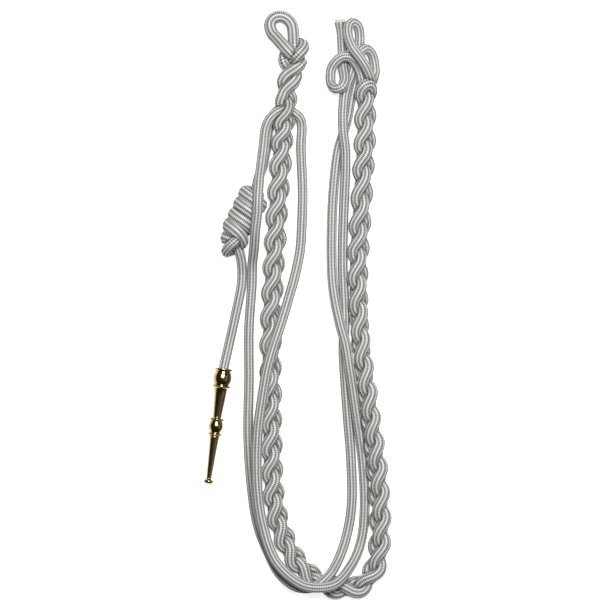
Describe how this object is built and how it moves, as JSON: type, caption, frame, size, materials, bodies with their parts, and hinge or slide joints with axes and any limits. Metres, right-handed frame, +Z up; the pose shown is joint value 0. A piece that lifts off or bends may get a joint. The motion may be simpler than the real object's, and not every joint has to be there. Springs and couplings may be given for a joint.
{
  "type": "aiguillette",
  "caption": "White braided shoulder aiguillette lying flat: plaited cord with button loop, loose cords, knotted cord with brass tip, and end loops.",
  "frame": {"origin": "below the middle of the outline, on the surface that the aiguillette lies on", "axes": "+X to the right and +Y towards the button loop as the piece is seen from above, +Z up from the surface"},
  "size_m": [0.1122, 0.352, 0.027],
  "materials": {
    "cord": "satin braid",
    "tag": "polished"
  },
  "bodies": {
    "root": {"button_loop": "cord", "plait_strand_1": "cord", "plait_strand_2": "cord", "plait_strand_3": "cord", "long_cord_outer": "cord", "long_cord_inner": "cord", "tag_cord": "cord", "knot_coil": "cord", "knot_collar": "cord", "end_loop_upper": "cord", "end_loop_right": "cord", "end_loop_left": "cord", "tag": "tag"}
  },
  "joints": []
}
